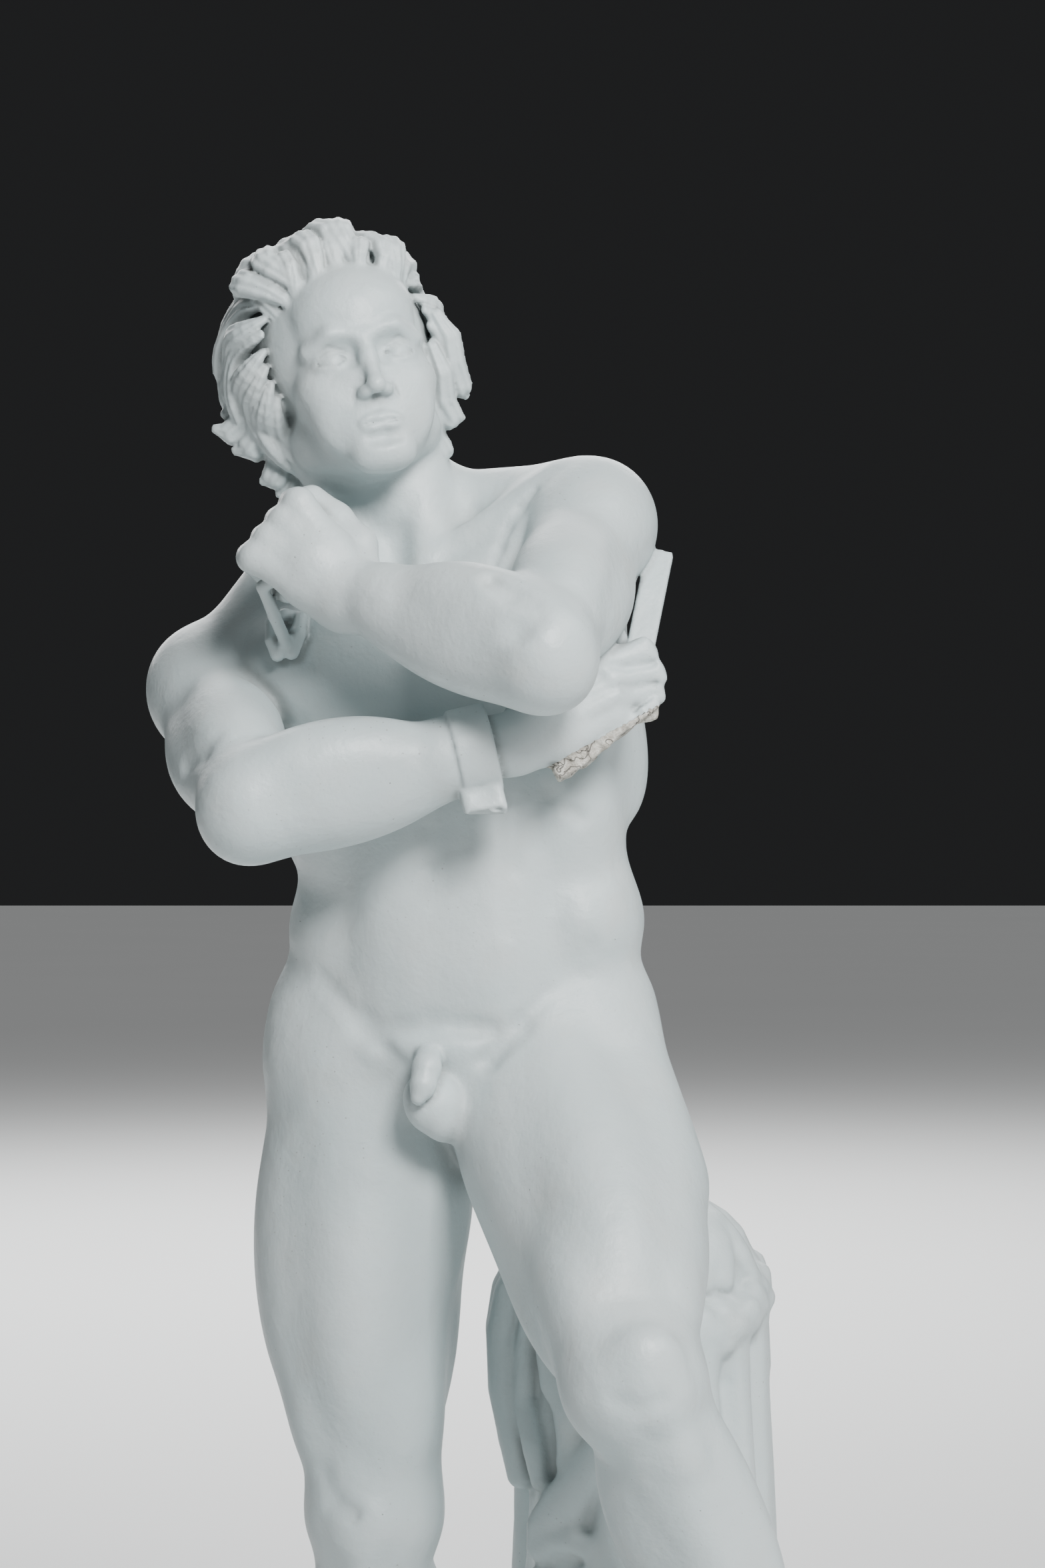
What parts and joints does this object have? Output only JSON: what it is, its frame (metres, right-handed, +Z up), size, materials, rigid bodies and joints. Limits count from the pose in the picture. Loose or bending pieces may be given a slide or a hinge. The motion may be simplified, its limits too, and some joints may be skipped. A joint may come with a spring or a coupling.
{
  "type": "statue",
  "caption": "Plaster table-top statue of a nude classical gladiator with crossed arms and a broken sword, by a draped stump on a low plinth.",
  "frame": {"origin": "centre of the plinth's underside", "axes": "+Z up, the figure faces -Y, its left arm is towards +X"},
  "size_m": [0.2264, 0.216, 0.5228],
  "materials": {
    "plaster": "matte"
  },
  "bodies": {
    "root": {"statue": "plaster"}
  },
  "joints": []
}
